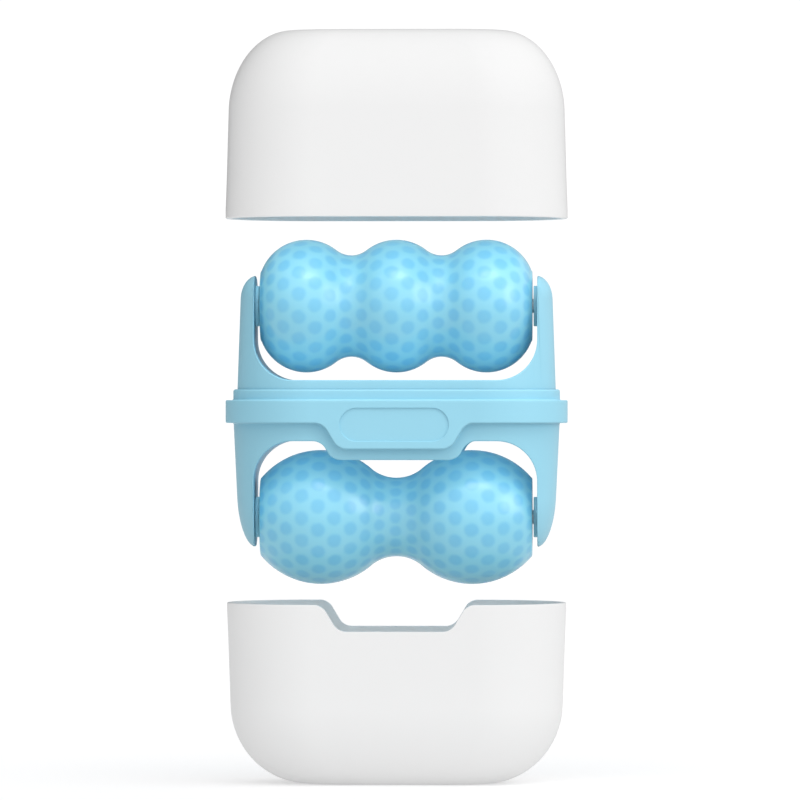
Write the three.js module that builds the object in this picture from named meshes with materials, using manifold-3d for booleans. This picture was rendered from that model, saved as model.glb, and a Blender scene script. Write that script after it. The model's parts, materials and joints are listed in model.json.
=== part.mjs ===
// Foot massage roller: a forked frame holds a triple-ball roller above and a peanut roller
// below, and two deep caps push onto the frame and close round them. Both caps stand pulled
// off, in line with the frame. Millimetres, +Z up, +X along the rollers, the front faces -Y.
import * as THREE from 'three';
import Module from 'manifold-3d';
import { mergeVertices } from 'three/addons/utils/BufferGeometryUtils.js';

const wasm = await Module();
wasm.setup();

// How far apart the three parts of the case stand, and the play between them.
const lowerPull = 62.9;      // lower cap's rim to the underside of the band
const upperPull = 63.6;      // top of the band to the upper cap's rim
const gap = 0.3;             // between pieces that touch
const over = 1;              // how far a cut runs past what it cuts
const endSteps = 10;         // facets round each end of a stadium section
const roundSides = { small: 16, disc: 24 };
const straight = 29;         // half-length of the straight sides of every frame section

const lowerCap = {
  height: 63.5, halfWidth: 59.5, halfDepth: 30.5, wall: 2,
  draft: 0.034, cornerHeight: 27, cornerX: 26, cornerY: 15, cornerSteps: 7,
};
const upperCap = {
  height: 66.1, halfWidth: 60, halfDepth: 31, wall: 2.2,
  draft: 0.028, cornerHeight: 28, cornerX: 21.3, cornerY: 14.5, cornerSteps: 7,
};

// Heights on the frame are measured from the middle of its band.
const band = { halfWidth: 60, halfHeight: 4, edge: 0.6 };
const tab = {
  bottom: -13, middle: -8.5, halfWidth: 22.1, angle: THREE.MathUtils.degToRad(59),
  fillet: 4.8, depth: 3.2,
};
const badge = { length: 38, height: 11.8, middle: -4.5, depth: 0.4 };
const lowerWall = {
  top: -band.halfHeight, halfWidth: 57.2, draft: 0.048, tip: -47.5, tipHeight: 17, tipInset: 5.3,
  tipSteps: 6,
};
const collar = { halfWidth: 57.3, top: 7.8, edge: 0.6 };
const apron = { grow: 3.8, thickness: 2 };
const upperWall = {
  bottom: 5.3, halfWidth: 55.9, draft: 0.035, tip: 47.65, tipHeight: 8, tipInset: 5, tipSteps: 5,
};
const channel = { halfWidth: 49.4, floor: 11, ceiling: -10.25, corner: 14, reach: 90 };
const seat = { floor: 5, ledge: 2.5 };
const plate = 2.4;           // thickness of the two deck plates
const forkTaper = 0.5;       // how much the pocket under the fork narrows to its ceiling
const rib = { thickness: 1.8, acrossX: [-38, 0, 38], below: 1, shorter: 4 };

const screw = {
  x: 24, y: 16, shank: 1.45, hole: 1.75, headRadius: 3, headDepth: 1.6, length: 15,
  boss: 3.8, crossWidth: 0.9, crossLength: 3.6, crossDepth: 1, point: 2.2, rim: 0.2, sunk: 0.2,
};

// Rollers, about their own axes.
const axleHeight = 37;       // from the middle of the band to either axle
const axle = { radius: 2.5, halfLength: 53, chamfer: 0.5 };
const socket = { radius: 2.8, depth: 3.9 };
const spacer = { radius: 7.1, inner: 48.1, bore: 2.85 };
const bush = { flange: 8, sleeve: 4.8, sleeveEnd: 36, bore: 2.85 };
const roller = {
  end: 47.65, innerEnd: 44.6, skin: 3, shell: 2.5, steps: 24,
  surfaceSteps: 16, liningSteps: 11, hollowSteps: 8,
};
const bore = { plug: 5.1, flange: 8.3, mouth: 5 };

// Arcs along each roller, left to right: place, centre's distance from the axis, radius, and
// whether the arc swells out (1) or draws in (-1). Neighbours are tangent.
const crest = (x, top, radius) => ({ x, centre: top - radius, radius, swell: 1 });
const valley = (x, bottom, radius) => ({ x, centre: bottom + radius, radius, swell: -1 });
const ball = { top: 23.3, radius: 16.85, spacing: 31.6, valley: 17.8, valleyRadius: 8.5 };
const tripleBall = [
  crest(-ball.spacing, ball.top, ball.radius),
  valley(-ball.spacing / 2, ball.valley, ball.valleyRadius),
  crest(0, ball.top, ball.radius),
  valley(ball.spacing / 2, ball.valley, ball.valleyRadius),
  crest(ball.spacing, ball.top, ball.radius),
];
const lobe = { top: 23.5, radius: 27.4, place: 26.5, waist: 13.8, waistRadius: 13.9 };
const peanut = [
  crest(-lobe.place, lobe.top, lobe.radius),
  valley(0, lobe.waist, lobe.waistRadius),
  crest(lobe.place, lobe.top, lobe.radius),
];

const finish = (color, roughness, metalness = 0) => ({ color, roughness, metalness });
const white = finish(0xf3f3f2, 0.35);
const blue = finish(0x9cd6eb, 0.4);
const gel = finish(0xa9d8ec, 0.2);
const natural = finish(0xe6e8e4, 0.5);
const steel = finish(0xb9bcc0, 0.3, 1);

// Shapes

// A closed geometry with shared vertices and its faces pointing out.
function closed(geometry) {
  geometry.deleteAttribute('normal');
  geometry.deleteAttribute('uv');
  const merged = mergeVertices(geometry, 1e-4);
  const place = merged.getAttribute('position');
  const corners = Array.from(merged.getIndex().array);
  const triangles = [];
  let volume = 0;
  const [a, b, c] = [new THREE.Vector3(), new THREE.Vector3(), new THREE.Vector3()];
  for (let i = 0; i < corners.length; i += 3) {
    const [p, q, r] = corners.slice(i, i + 3);
    if (p === q || q === r || r === p) continue;
    triangles.push([p, q, r]);
    a.fromBufferAttribute(place, p);
    b.fromBufferAttribute(place, q);
    c.fromBufferAttribute(place, r);
    volume += a.dot(b.cross(c));
  }
  const outward = volume < 0 ? triangles.map(([p, q, r]) => [p, r, q]) : triangles;
  merged.setIndex(outward.flat());
  return merged;
}

function toSolid(geometry) {
  const merged = closed(geometry);
  return new wasm.Manifold(new wasm.Mesh({
    numProp: 3,
    vertProperties: new Float32Array(merged.getAttribute('position').array),
    triVerts: new Uint32Array(merged.getIndex().array),
  }));
}

function toGeometry(solid) {
  const mesh = solid.getMesh();
  const geometry = new THREE.BufferGeometry();
  geometry.setAttribute('position', new THREE.BufferAttribute(mesh.vertProperties, 3));
  geometry.setIndex(new THREE.BufferAttribute(mesh.triVerts, 1));
  return geometry;
}

// A stadium seen from above: straight sides along X and round ends.
function stadium(halfWidth, radius) {
  const outline = [];
  for (const side of [1, -1]) {
    for (let i = 0; i <= endSteps; i++) {
      const turn = Math.PI * (i / endSteps - 0.5);
      const x = halfWidth - radius + radius * Math.cos(turn);
      outline.push([side * x, side * radius * Math.sin(turn)]);
    }
  }
  return outline;
}

const frameSection = (halfWidth, z) => ({ z, outline: stadium(halfWidth, halfWidth - straight) });

// The skin through a stack of outlines, closed flat at its first and last.
function loft(sections) {
  const count = sections[0].outline.length;
  const places = sections.flatMap(({ z, outline }) => outline.flatMap(([x, y]) => [x, y, z]));
  const corners = [];
  for (let level = 0; level + 1 < sections.length; level++) {
    for (let i = 0; i < count; i++) {
      const a = level * count + i;
      const b = level * count + ((i + 1) % count);
      corners.push(a, b, b + count, a, b + count, a + count);
    }
  }
  const last = (sections.length - 1) * count;
  for (let i = 1; i + 1 < count; i++) {
    corners.push(0, i + 1, i, last, last + i, last + i + 1);
  }
  const geometry = new THREE.BufferGeometry();
  geometry.setAttribute('position', new THREE.Float32BufferAttribute(places, 3));
  geometry.setIndex(corners);
  return geometry;
}

// An outline drawn in X and Z, made solid from y = near to y = far.
function across(shape, near, far) {
  const geometry = new THREE.ExtrudeGeometry(shape, {
    depth: far - near, bevelEnabled: false, curveSegments: 5,
  });
  geometry.rotateX(Math.PI / 2);
  geometry.translate(0, far, 0);
  return toSolid(geometry);
}

// A profile of [radius, place] turned about the X axis.
function turned(profile, segments) {
  const points = profile.map(([radius, place]) => new THREE.Vector2(radius, place));
  const geometry = new THREE.LatheGeometry(points, segments);
  geometry.rotateZ(-Math.PI / 2);
  return closed(geometry);
}

// A profile of [radius, height] turned about an upright axis at x, y.
function upright(profile, x, y, segments = 14) {
  const points = profile.map(([radius, height]) => new THREE.Vector2(radius, height));
  const geometry = new THREE.LatheGeometry(points, segments);
  geometry.rotateX(Math.PI / 2);
  geometry.translate(x, y, 0);
  return toSolid(geometry);
}

const pillar = (radius, low, high, x, y) => (
  upright([[0, low], [radius, low], [radius, high], [0, high]], x, y)
);

function block(width, depth, low, high, x = 0, y = 0) {
  const geometry = new THREE.BoxGeometry(width, depth, high - low);
  geometry.translate(x, y, (low + high) / 2);
  return toSolid(geometry);
}

// The tab's outline, or one that runs outside it by `grow`, hanging from the height `top`.
function hanging(top, grow) {
  const bottom = tab.bottom - grow;
  const sine = Math.sin(tab.angle);
  const cosine = Math.cos(tab.angle);
  const halfAt = (z) => tab.halfWidth + grow / sine + ((z - tab.middle) * cosine) / sine;
  const reach = tab.fillet * Math.tan(tab.angle / 2);
  const [upper, lower] = [halfAt(top), halfAt(bottom)];
  const shape = new THREE.Shape();
  shape.moveTo(-upper - reach, top + over);
  shape.lineTo(-upper - reach, top);
  shape.quadraticCurveTo(-upper, top, -upper + reach * cosine, top - reach * sine);
  shape.lineTo(-lower - reach * cosine, bottom + reach * sine);
  shape.quadraticCurveTo(-lower, bottom, -lower + reach, bottom);
  shape.lineTo(lower - reach, bottom);
  shape.quadraticCurveTo(lower, bottom, lower + reach * cosine, bottom + reach * sine);
  shape.lineTo(upper - reach * cosine, top - reach * sine);
  shape.quadraticCurveTo(upper, top, upper + reach, top);
  shape.lineTo(upper + reach, top + over);
  return shape;
}

// The U between the arms, upwards from its floor (side 1) or downwards from its ceiling (-1).
function channelShape(side) {
  const { halfWidth, corner, reach } = channel;
  const floor = side > 0 ? channel.floor : channel.ceiling;
  const inset = halfWidth - corner;
  const turn = side > 0 ? [Math.PI, 1.5 * Math.PI, 2 * Math.PI] : [Math.PI, 0.5 * Math.PI, 0];
  const centre = floor + side * corner;
  const shape = new THREE.Shape();
  shape.moveTo(-halfWidth, side * reach);
  shape.lineTo(-halfWidth, centre);
  shape.absarc(-inset, centre, corner, turn[0], turn[1], side < 0);
  shape.lineTo(inset, floor);
  shape.absarc(inset, centre, corner, turn[1], turn[2], side < 0);
  shape.lineTo(halfWidth, side * reach);
  return shape;
}

// Caps

// Half-width and half-depth at `height` above the closed end, for a skin `wall` inside.
function capSection(cap, height, wall, rise) {
  const lean = cap.draft * (cap.height - height) + wall;
  const inset = 1 - Math.sqrt(1 - rise * rise);
  const radius = cap.halfDepth - lean - cap.cornerY * inset;
  return { z: height, outline: stadium(cap.halfWidth - lean - cap.cornerX * inset, radius) };
}

function capSkin(cap, wall) {
  const sections = [];
  for (let i = 0; i <= cap.cornerSteps; i++) {
    const rise = Math.cos((Math.PI / 2) * (i / cap.cornerSteps));
    const height = wall + (cap.cornerHeight - wall) * (1 - rise);
    sections.push(capSection(cap, height, wall, rise));
  }
  sections.push(capSection(cap, cap.height, wall, 0));
  return sections;
}

// A deep cap that stands on its closed end.
const capBody = (cap) => loft([...capSkin(cap, 0), ...capSkin(cap, cap.wall).reverse()]);

function makeLowerCap() {
  const rim = tab.depth + band.halfWidth;
  const notch = across(hanging(-band.halfHeight, gap), -rim, rim)
    .translate([0, 0, lowerCap.height + band.halfHeight]);
  return toGeometry(toSolid(capBody(lowerCap)).subtract(notch));
}

const makeUpperCap = () => closed(capBody(upperCap));

// Frame

// Sections of an arm's outer wall from its foot to its tip, which rounds in.
function wallSections(wall, foot, side) {
  const steps = wall.tipSteps;
  const bare = (z) => wall.halfWidth - wall.draft * Math.abs(z - foot);
  const sections = [frameSection(wall.halfWidth, foot)];
  for (let i = 0; i <= steps; i++) {
    const turn = (Math.PI / 2) * (i / steps);
    const z = wall.tip - side * wall.tipHeight * (1 - Math.sin(turn));
    sections.push(frameSection(bare(z) - wall.tipInset * (1 - Math.cos(turn)), z));
  }
  return sections;
}

const axleSocket = (side, height) => {
  const inner = channel.halfWidth - over;
  const outer = channel.halfWidth + socket.depth;
  const { radius } = socket;
  const profile = [[0, inner], [radius, inner], [radius, outer], [0, outer]];
  return toSolid(turned(profile, roundSides.small))
    .translate([side > 0 ? 0 : -inner - outer, 0, height]);
};

const screwPlaces = [[-1, -1], [1, -1], [-1, 1], [1, 1]]
  .map(([x, y]) => [x * screw.x, y * screw.y]);

function makeFrame() {
  const lower = wallSections(lowerWall, lowerWall.top, -1).reverse();
  const rim = [
    frameSection(collar.halfWidth, 0),
    frameSection(collar.halfWidth, collar.top - collar.edge),
    frameSection(collar.halfWidth - collar.edge, collar.top),
  ];
  const { halfWidth, halfHeight, edge } = band;
  const belt = loft([
    frameSection(halfWidth - edge, -halfHeight), frameSection(halfWidth, edge - halfHeight),
    frameSection(halfWidth, halfHeight - edge), frameSection(halfWidth - edge, halfHeight),
  ]);
  const face = halfWidth - straight;
  const tabShape = hanging(-halfHeight, 0);
  const badgeShape = new THREE.Shape();
  const end = badge.height / 2;
  badgeShape.absarc(badge.length / 2 - end, badge.middle, end, -Math.PI / 2, Math.PI / 2);
  badgeShape.absarc(end - badge.length / 2, badge.middle, end, Math.PI / 2, 1.5 * Math.PI);
  let body = toSolid(loft([...lower, ...rim]))
    .add(toSolid(belt))
    .add(across(tabShape, -face, tab.depth - face))
    .add(across(tabShape, face - tab.depth, face))
    .subtract(across(badgeShape, -face - over, badge.depth - face));

  // The arch under the deck stops short of the aprons behind the tabs.
  const apronShape = hanging(channel.ceiling, apron.grow);
  const lean = lowerWall.draft * (lowerWall.top - tab.bottom + apron.grow);
  const apronFace = lowerWall.halfWidth - lean - straight - apron.thickness;
  const past = face + over;
  let arch = across(channelShape(-1), -past, past);
  for (const [near, far] of [[-past - over, -apronFace], [apronFace, past + over]]) {
    arch = arch.subtract(across(apronShape, near, far));
  }
  body = body.subtract(arch);

  // The well under the fork, with its ledge, ribs and screw bosses.
  const wellFloor = channel.ceiling + plate;
  const seatHalf = upperWall.halfWidth + gap;
  const wellHalf = seatHalf - seat.ledge;
  const mouth = collar.top + over;
  const well = toSolid(loft([frameSection(wellHalf, wellFloor), frameSection(wellHalf, mouth)]))
    .add(toSolid(loft([frameSection(seatHalf, seat.floor), frameSection(seatHalf, mouth)])));
  body = body.subtract(well);
  const ribTop = seat.floor - rib.below;
  const ribFoot = wellFloor - over;
  const ribReach = 2 * (wellHalf - straight) + over;
  body = body.add(block(2 * wellHalf, rib.thickness, ribFoot, ribTop));
  for (const x of rib.acrossX) {
    const depth = ribReach - (Math.abs(x) > straight ? rib.shorter : 0);
    body = body.add(block(rib.thickness, depth, ribFoot, ribTop, x));
  }
  for (const [x, y] of screwPlaces) {
    body = body.add(pillar(screw.boss, ribFoot, seat.floor, x, y));
    body = body.subtract(pillar(screw.hole, channel.floor - screw.length - over, mouth, x, y));
  }
  for (const side of [-1, 1]) body = body.subtract(axleSocket(side, -axleHeight));
  return toGeometry(body);
}

function makeUpperFork() {
  const foot = upperWall.bottom;
  let body = toSolid(loft(wallSections(upperWall, foot, 1)))
    .subtract(across(channelShape(1), -band.halfWidth, band.halfWidth));
  const hollowHalf = upperWall.halfWidth - seat.ledge;
  const ceiling = channel.floor - plate;
  body = body.subtract(toSolid(loft([
    frameSection(hollowHalf, foot - over), frameSection(hollowHalf - forkTaper, ceiling),
  ])));
  for (const [x, y] of screwPlaces) {
    const top = channel.floor;
    const wide = screw.headRadius + gap;
    const sink = [
      [0, foot - over], [screw.hole, foot - over], [screw.hole, top - screw.headDepth - gap],
      [wide, top - gap], [wide, top + over], [0, top + over],
    ];
    body = body.add(pillar(screw.boss, foot, ceiling + over, x, y)).subtract(upright(sink, x, y));
  }
  for (const side of [-1, 1]) body = body.subtract(axleSocket(side, axleHeight));
  return toGeometry(body);
}

// A countersunk screw with a cross in its head, pointing down.
function makeScrew(x, y) {
  const top = channel.floor - screw.sunk;
  const { shank, headRadius, headDepth, length, crossWidth, crossLength, crossDepth } = screw;
  const body = upright([
    [0, top - length], [shank, top - length + screw.point], [shank, top - headDepth],
    [headRadius, top - screw.rim], [headRadius, top], [0, top],
  ], x, y);
  const slot = block(crossWidth, crossLength, top - crossDepth, top + over, x, y)
    .add(block(crossLength, crossWidth, top - crossDepth, top + over, x, y));
  return toGeometry(body.subtract(slot));
}

// Rollers

// [radius, place] along a row of tangent arcs, `inset` under the surface, end to end.
function wavy(arcs, inset, end, steps) {
  const points = [];
  arcs.forEach((arc, i) => {
    const radius = arc.radius - arc.swell * inset;
    const lean = (next) => Math.asin((next.x - arc.x) / (arc.radius + next.radius));
    const from = i ? lean(arcs[i - 1]) : Math.asin((-end - arc.x) / radius);
    const to = i < arcs.length - 1 ? lean(arcs[i + 1]) : Math.asin((end - arc.x) / radius);
    const count = Math.max(2, Math.round((steps * (to - from)) / (2 * Math.PI)));
    for (let k = i ? 1 : 0; k <= count; k++) {
      const turn = from + ((to - from) * k) / count;
      const height = arc.centre + arc.swell * radius * Math.cos(turn);
      points.push([height, arc.x + radius * Math.sin(turn)]);
    }
  });
  return points;
}

// A closed ring profile from an outer row of points and an inner one, both end to end.
const ring = (outer, inner) => [...outer, ...[...inner].reverse(), outer[0]];

function makeSkin(arcs) {
  const { end, innerEnd, skin, surfaceSteps, liningSteps } = roller;
  const inner = wavy(arcs, skin, innerEnd, liningSteps);
  const lip = [[bore.flange, end], [bore.flange, innerEnd]];
  const lipped = [
    ...lip.map(([radius, x]) => [radius, -x]), ...inner, ...[...lip].reverse(),
  ];
  return turned(ring(wavy(arcs, 0, end, surfaceSteps), lipped), roller.steps);
}

function makeCore(arcs) {
  const { innerEnd, skin, shell, liningSteps, hollowSteps } = roller;
  const end = innerEnd - gap;
  const inside = wavy(arcs, skin + gap + shell, end - bore.mouth, hollowSteps);
  const mouth = [[bore.plug, end], [bore.plug, end - bore.mouth]];
  const hollow = [
    ...mouth.map(([radius, x]) => [radius, -x]), ...inside, ...[...mouth].reverse(),
  ];
  return turned(ring(wavy(arcs, skin + gap, end, liningSteps), hollow), roller.steps);
}

// The end plug of a roller, turning on the axle.
function makeBush(side) {
  const { flange, sleeve, sleeveEnd } = bush;
  const profile = [
    [bush.bore, sleeveEnd], [sleeve, sleeveEnd], [sleeve, roller.innerEnd],
    [flange, roller.innerEnd], [flange, roller.end], [bush.bore, roller.end],
    [bush.bore, sleeveEnd],
  ];
  return turned(profile.map(([radius, x]) => [radius, side * x]), roundSides.small);
}

function makeSpacer(side) {
  const { radius, inner } = spacer;
  const outer = channel.halfWidth - gap;
  const profile = [
    [spacer.bore, inner], [radius, inner], [radius, outer], [spacer.bore, outer],
    [spacer.bore, inner],
  ];
  return turned(profile.map(([r, x]) => [r, side * x]), roundSides.disc);
}

function makeAxle() {
  const { radius, halfLength, chamfer } = axle;
  const half = [[radius, halfLength - chamfer], [radius - chamfer, halfLength], [0, halfLength]];
  return turned([...half.map(([r, x]) => [r, -x]).reverse(), ...half], roundSides.small);
}

// Assembly

const group = new THREE.Group();

function addTo(parent, name, geometry, look) {
  const flat = geometry.index ? geometry.toNonIndexed() : geometry;
  flat.computeVertexNormals();
  const mesh = new THREE.Mesh(flat, new THREE.MeshStandardMaterial(look));
  mesh.name = name;
  parent.add(mesh);
  return mesh;
}

addTo(group, 'lower_cap', makeLowerCap(), white);

const core = new THREE.Group();
core.position.z = lowerCap.height + lowerPull + band.halfHeight;
group.add(core);
addTo(core, 'main_frame', makeFrame(), blue);
addTo(core, 'upper_fork', makeUpperFork(), blue);
screwPlaces.forEach(([x, y], i) => addTo(core, `deck_screw_${i + 1}`, makeScrew(x, y), steel));

for (const [name, arcs, height] of [
  ['upper', tripleBall, axleHeight], ['lower', peanut, -axleHeight],
]) {
  const station = new THREE.Group();
  station.position.z = height;
  core.add(station);
  addTo(station, `${name}_axle`, makeAxle(), steel);
  addTo(station, `${name}_roller_skin`, makeSkin(arcs), gel);
  addTo(station, `${name}_roller_core`, makeCore(arcs), natural);
  for (const [hand, side] of [['left', -1], ['right', 1]]) {
    addTo(station, `${name}_${hand}_bush`, makeBush(side), natural);
    addTo(station, `${name}_${hand}_spacer`, makeSpacer(side), blue);
  }
}

const lid = addTo(group, 'upper_cap', makeUpperCap(), white);
lid.rotation.x = Math.PI;
lid.position.z = core.position.z + band.halfHeight + upperPull + upperCap.height;

export default group;
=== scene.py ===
import json
import math

import bmesh
import bpy
from mathutils import Matrix, Vector

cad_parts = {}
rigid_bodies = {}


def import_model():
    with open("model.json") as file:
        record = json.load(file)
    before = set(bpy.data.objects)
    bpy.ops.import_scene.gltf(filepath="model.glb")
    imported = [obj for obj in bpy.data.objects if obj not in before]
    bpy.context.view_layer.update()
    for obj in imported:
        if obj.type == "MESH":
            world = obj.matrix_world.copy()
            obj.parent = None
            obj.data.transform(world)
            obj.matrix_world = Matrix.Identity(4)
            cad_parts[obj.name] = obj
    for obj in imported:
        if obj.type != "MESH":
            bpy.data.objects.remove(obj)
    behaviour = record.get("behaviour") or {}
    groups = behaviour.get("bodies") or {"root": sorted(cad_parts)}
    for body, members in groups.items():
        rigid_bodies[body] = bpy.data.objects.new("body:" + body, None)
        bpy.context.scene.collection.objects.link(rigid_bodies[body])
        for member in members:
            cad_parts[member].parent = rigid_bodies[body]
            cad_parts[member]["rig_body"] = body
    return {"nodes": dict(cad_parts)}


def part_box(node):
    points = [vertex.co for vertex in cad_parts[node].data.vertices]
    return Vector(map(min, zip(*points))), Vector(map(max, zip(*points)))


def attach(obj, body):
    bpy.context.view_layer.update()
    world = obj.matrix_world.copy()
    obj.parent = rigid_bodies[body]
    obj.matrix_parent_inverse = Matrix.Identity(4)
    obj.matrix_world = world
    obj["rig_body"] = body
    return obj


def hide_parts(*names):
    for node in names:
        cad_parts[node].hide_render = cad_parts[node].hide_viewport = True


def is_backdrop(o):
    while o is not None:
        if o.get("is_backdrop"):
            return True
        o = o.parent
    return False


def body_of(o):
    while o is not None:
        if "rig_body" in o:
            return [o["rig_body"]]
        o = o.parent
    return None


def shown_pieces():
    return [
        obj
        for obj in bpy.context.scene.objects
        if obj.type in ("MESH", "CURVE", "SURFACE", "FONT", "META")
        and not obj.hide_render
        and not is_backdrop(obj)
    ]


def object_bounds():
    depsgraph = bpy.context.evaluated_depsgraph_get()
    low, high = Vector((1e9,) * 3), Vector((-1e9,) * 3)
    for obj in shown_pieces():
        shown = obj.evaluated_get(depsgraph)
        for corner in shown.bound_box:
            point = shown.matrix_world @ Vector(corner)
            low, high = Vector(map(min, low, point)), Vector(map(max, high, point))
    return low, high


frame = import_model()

cadBox = [list(corner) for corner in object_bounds()]
mm = 0.001
tiny = 0.001 * mm      # closer than this is the same place
past = 40 * mm         # how far the cutting tools reach, beyond every piece
bpy.context.scene.view_settings.view_transform = "Standard"


# Places that every piece is worked out from, all read from the frame.
def middleOf(node):
    low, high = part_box(node)
    return [(a + b) / 2 for a, b in zip(low, high)]


def sizeOf(node):
    low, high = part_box(node)
    return [b - a for a, b in zip(low, high)]


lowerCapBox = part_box("lower_cap")
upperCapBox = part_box("upper_cap")
upperAxis = middleOf("upper_axle")[2]
lowerAxis = middleOf("lower_axle")[2]
bandMiddle = (upperAxis + lowerAxis) / 2
bandHalfWidth = sizeOf("main_frame")[0] / 2
bandHalfDepth = sizeOf("main_frame")[1] / 2
straight = bandHalfWidth - bandHalfDepth


# How edges are found and rounded; angles are in degrees unless a note says otherwise.
edges = {
    "sharp": 35,         # an edge bent by more than this gets rounded
    "smooth": 32,        # faces that meet by less than this shade as one
    "segments": 3,
    "join": 0.03 * mm,   # corners nearer than this become one
    "flat": 0.4,         # faces that meet by less than this become one
    "short": 0.8 * mm,   # a slight edge this short, or this close in direction to a sharp one,
    "close": 0.5,        # (in radians) is dissolved, because it would spoil the rounding
}


def deselect():
    if bpy.context.object and bpy.context.object.mode != "OBJECT":
        bpy.ops.object.mode_set(mode="OBJECT")
    bpy.ops.object.select_all(action="DESELECT")


def edit(piece):
    deselect()
    bpy.context.view_layer.objects.active = piece
    piece.select_set(True)
    bpy.ops.object.mode_set(mode="EDIT")


def pick(kind, test):
    # selects the vertices, edges or faces that pass the test, and nothing else
    bpy.ops.mesh.select_mode(type=kind)
    bpy.ops.mesh.select_all(action="DESELECT")
    mesh = bmesh.from_edit_mesh(bpy.context.edit_object.data)
    items = {"VERT": mesh.verts, "EDGE": mesh.edges, "FACE": mesh.faces}[kind]
    for item in items:
        if test(item):
            item.select_set(True)
    mesh.select_flush_mode()
    bmesh.update_edit_mesh(bpy.context.edit_object.data)


def middleOfEdge(edge):
    return (edge.verts[0].co + edge.verts[1].co) / 2


def runsAlong(edge, axis):
    run = edge.verts[1].co - edge.verts[0].co
    straightness = 0.99
    return abs(run[axis]) > straightness * run.length


def block(name, low, high):
    deselect()
    size = [b - a for a, b in zip(low, high)]
    middle = [(a + b) / 2 for a, b in zip(low, high)]
    bpy.ops.mesh.primitive_cube_add(size=1, location=middle, scale=size)
    bpy.ops.object.transform_apply(location=True, rotation=True, scale=True)
    bpy.context.object.name = name
    return bpy.context.object


def rod(name, radius, near, far, axis="X", place=(0, 0, 0), sides=64):
    # a round bar along X or Z, from near to far past its place
    deselect()
    middle = Vector(place)
    middle["XYZ".index(axis)] += (near + far) / 2
    turn = (0, math.pi / 2, 0) if axis == "X" else (0, 0, 0)
    bpy.ops.mesh.primitive_cylinder_add(
        vertices=sides, radius=radius, depth=far - near, location=middle, rotation=turn)
    bpy.ops.object.transform_apply(location=True, rotation=True, scale=True)
    bpy.context.object.name = name
    return bpy.context.object


def roundEdges(piece, test, reach, segments):
    # rounds the edges that pass the test, each with a quarter circle
    edit(piece)
    pick("EDGE", test)
    bpy.ops.mesh.bevel(offset=reach, offset_type="OFFSET", segments=segments, profile=0.5)
    bpy.ops.mesh.select_all(action="SELECT")
    bpy.ops.mesh.remove_doubles(threshold=tiny)
    bpy.ops.object.mode_set(mode="OBJECT")


def stadiumBlock(name, halfWidth, halfDepth, low, high, steps=24):
    # upright, straight at front and back, with half-round ends
    piece = block(name, (-halfWidth, -halfDepth, low), (halfWidth, halfDepth, high))
    roundEdges(piece, lambda e: runsAlong(e, 2), halfDepth, steps)
    return piece


def drawOut(start, rings):
    # extrudes the picked end face through rings of (height, half-width, half-depth)
    height, width, depth = start
    for nextHeight, nextWidth, nextDepth in rings:
        bpy.ops.mesh.extrude_region_move(
            TRANSFORM_OT_translate={"value": (0, 0, nextHeight - height)})
        bpy.ops.transform.resize(
            value=(nextWidth / width, nextDepth / depth, 1), center_override=(0, 0, nextHeight))
        height, width, depth = nextHeight, nextWidth, nextDepth


def pickEnd(height, side):
    # the level face at this height that looks up (side 1) or down (side -1)
    pick("FACE", lambda f: f.normal.z * side > 0.9
         and abs(f.calc_center_median().z - height) < 10 * tiny)


def finish(piece, **settings):
    # adds the named modifier with these settings and applies it
    kind = settings.pop("kind")
    deselect()
    bpy.context.view_layer.objects.active = piece
    piece.select_set(True)
    modifier = piece.modifiers.new(kind.lower(), kind)
    for key, value in settings.items():
        setattr(modifier, key, value)
    bpy.ops.object.modifier_apply(modifier=modifier.name)


def combine(piece, tool, operation="DIFFERENCE"):
    # cuts the tool out of the piece, or joins it on, and uses it up
    finish(piece, kind="BOOLEAN", operation=operation, object=tool, solver="EXACT")
    bpy.data.meshes.remove(tool.data)


def isSharp(edge):
    return len(edge.link_faces) == 2 and edge.calc_face_angle() > math.radians(edges["sharp"])


def crowdsAnEdge(edge):
    # a slight edge that leaves a sharp one at a shallow angle, or ends just beside it
    if isSharp(edge):
        return False
    for vert in edge.verts:
        run = edge.other_vert(vert).co - vert.co
        for other in vert.link_edges:
            if other is not edge and isSharp(other):
                along = other.other_vert(vert).co - vert.co
                if (run.length < edges["short"]
                        or min(run.angle(along), run.angle(-along)) < edges["close"]):
                    return True
    return False


def tidy(piece):
    # joins the slivers that booleans leave, so that edges round evenly
    edit(piece)
    bpy.ops.mesh.select_all(action="SELECT")
    bpy.ops.mesh.remove_doubles(threshold=edges["join"])
    bpy.ops.mesh.dissolve_limited(angle_limit=math.radians(edges["flat"]))
    pick("EDGE", crowdsAnEdge)
    bpy.ops.mesh.dissolve_edges(use_verts=False)
    bpy.ops.object.mode_set(mode="OBJECT")


def soften(piece, width):
    # breaks the sharp edges as a mould does, and shades the rest smooth
    tidy(piece)
    finish(piece, kind="BEVEL", width=width, segments=edges["segments"], limit_method="ANGLE",
           angle_limit=math.radians(edges["sharp"]), use_clamp_overlap=False)
    shadeFlats(piece)


def shadeFlats(piece):
    # large faces stay flat and the rounded edges between them carry the bend
    smooth(piece)
    finish(piece, kind="WEIGHTED_NORMAL", keep_sharp=True)


def smooth(piece, angle=edges["smooth"]):
    deselect()
    bpy.context.view_layer.objects.active = piece
    piece.select_set(True)
    bpy.ops.object.shade_smooth_by_angle(angle=math.radians(angle))


def copyOf(piece, name, turn=None, shift=(0, 0, 0)):
    # a copy with its own mesh, turned and moved in its mesh so that the object stays put
    other = piece.copy()
    other.data = piece.data.copy()
    other.name = name
    bpy.context.collection.objects.link(other)
    other.data.transform(Matrix.Translation(shift) @ (turn or Matrix()))
    return other


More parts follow.
